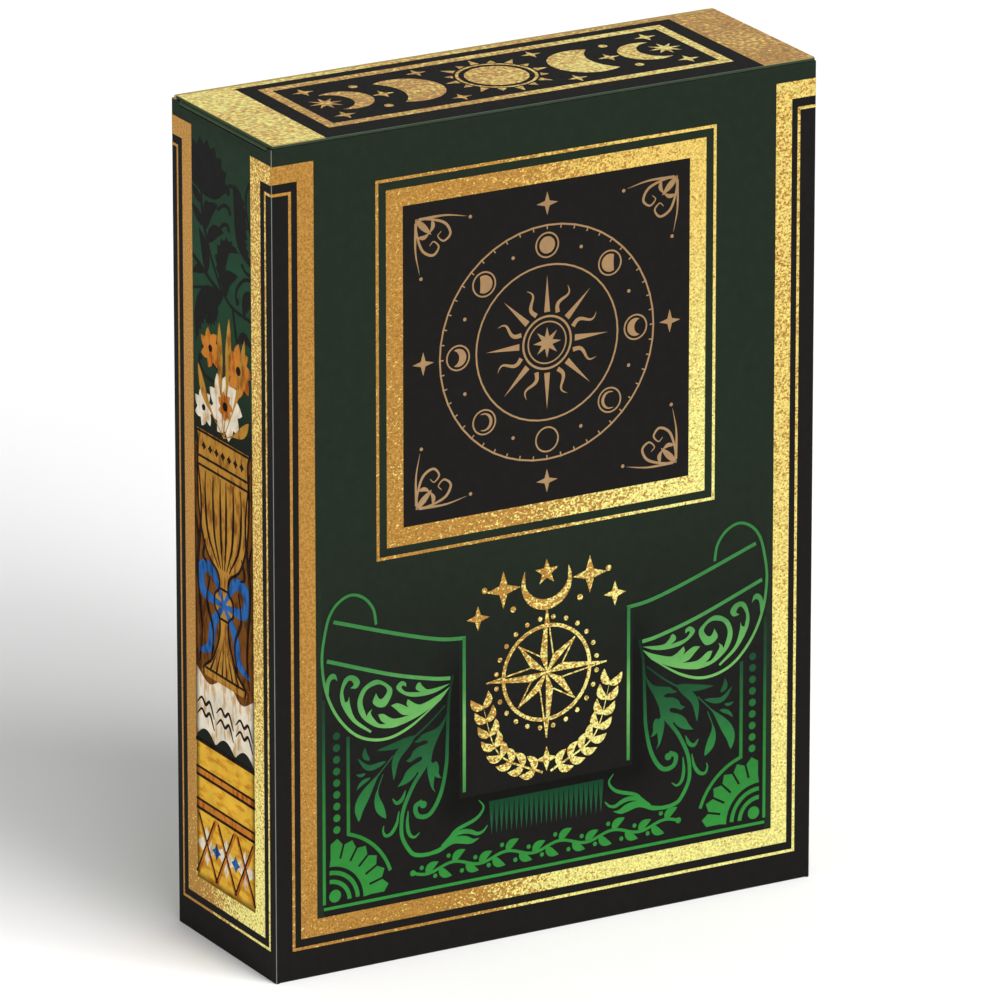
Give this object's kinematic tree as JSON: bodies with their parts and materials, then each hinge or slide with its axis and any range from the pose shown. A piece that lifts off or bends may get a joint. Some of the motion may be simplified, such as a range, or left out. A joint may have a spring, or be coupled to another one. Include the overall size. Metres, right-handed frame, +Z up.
{
  "type": "tarot card deck",
  "caption": "Tarot card deck in a printed upright tuck carton: hinged lid with tuck and dust flaps, round-cornered cards and a folded leaflet that rise out of the open top.",
  "frame": {"origin": "middle of the carton's underside, on the surface it stands on", "axes": "+Z up along the carton's height, +X along its width, -Y out of the back panel that carries the lid's crease"},
  "size_m": [0.066, 0.022, 0.093],
  "materials": {
    "printed_board": "satin printed board in dark green and black with gold foil",
    "foil_board": "printed board with grained gold foil and black",
    "plain_board": "uncoated board",
    "leaflet_paper": "matte paper",
    "card_stock": "satin coated card"
  },
  "bodies": {
    "carton": {"back_panel": "printed_board", "front_panel": "printed_board", "left_side_panel": "printed_board", "right_side_panel": "printed_board", "glue_flap": "plain_board", "bottom_panel": "printed_board", "bottom_inner_flap": "plain_board", "bottom_dust_flap_left": "plain_board", "bottom_dust_flap_right": "plain_board"},
    "lid": {"lid_panel": "foil_board"},
    "tuck": {"tuck_flap": "printed_board"},
    "dust_left": {"dust_flap_left": "plain_board"},
    "dust_right": {"dust_flap_right": "plain_board"},
    "leaflet": {"leaflet": "leaflet_paper"},
    "deck": {"fool": "card_stock", "magician": "card_stock", "high_priestess": "card_stock", "empress": "card_stock", "emperor": "card_stock", "hierophant": "card_stock", "lovers": "card_stock", "chariot": "card_stock", "justice": "card_stock", "hermit": "card_stock", "wheel_of_fortune": "card_stock", "strength": "card_stock", "hanged_man": "card_stock", "death": "card_stock", "temperance": "card_stock", "devil": "card_stock", "tower": "card_stock", "star": "card_stock", "moon": "card_stock", "sun": "card_stock", "judgement": "card_stock", "world": "card_stock", "page_of_cups": "card_stock", "knight_of_cups": "card_stock", "queen_of_cups": "card_stock", "king_of_cups": "card_stock", "page_of_coins": "card_stock", "knight_of_coins": "card_stock", "queen_of_coins": "card_stock", "king_of_coins": "card_stock", "page_of_swords": "card_stock", "knight_of_swords": "card_stock", "queen_of_swords": "card_stock", "king_of_swords": "card_stock", "page_of_batons": "card_stock", "knight_of_batons": "card_stock", "queen_of_batons": "card_stock", "king_of_batons": "card_stock", "cups_ace_to_ten": "card_stock", "coins_ace_to_ten": "card_stock", "swords_ace_to_ten": "card_stock", "batons_ace_to_ten": "card_stock"}
  },
  "joints": [
    {"name": "lid_fold", "type": "hinge", "parent": "carton", "child": "lid", "pos_m": [0, -0.0108, 0.0928], "axis": [1, 0, 0], "range_deg": [0, 150]},
    {"name": "tuck_fold", "type": "hinge", "parent": "lid", "child": "tuck", "pos_m": [0, 0.00995, 0.0926], "axis": [1, 0, 0], "range_deg": [-67.5, 0]},
    {"name": "dust_left_fold", "type": "hinge", "parent": "carton", "child": "dust_left", "pos_m": [-0.0328, 0, 0.09235], "axis": [0, -1, 0], "range_deg": [0, 135]},
    {"name": "dust_right_fold", "type": "hinge", "parent": "carton", "child": "dust_right", "pos_m": [0.0328, 0, 0.09235], "axis": [0, 1, 0], "range_deg": [0, 135]},
    {"name": "leaflet_slide", "type": "slide", "parent": "carton", "child": "leaflet", "axis": [0, 0, 1], "range_m": [0, 0.01047]},
    {"name": "deck_slide", "type": "slide", "parent": "carton", "child": "deck", "axis": [0, 0, 1], "range_m": [0, 0.01047]}
  ],
  "couplings": [
    {"joint": "lid_fold", "follows": "deck_slide", "rad_per_m": 250},
    {"joint": "tuck_fold", "follows": "deck_slide", "rad_per_m": -112.5},
    {"joint": "dust_left_fold", "follows": "deck_slide", "rad_per_m": 225},
    {"joint": "dust_right_fold", "follows": "deck_slide", "rad_per_m": 225},
    {"joint": "leaflet_slide", "follows": "deck_slide", "ratio": 1}
  ]
}
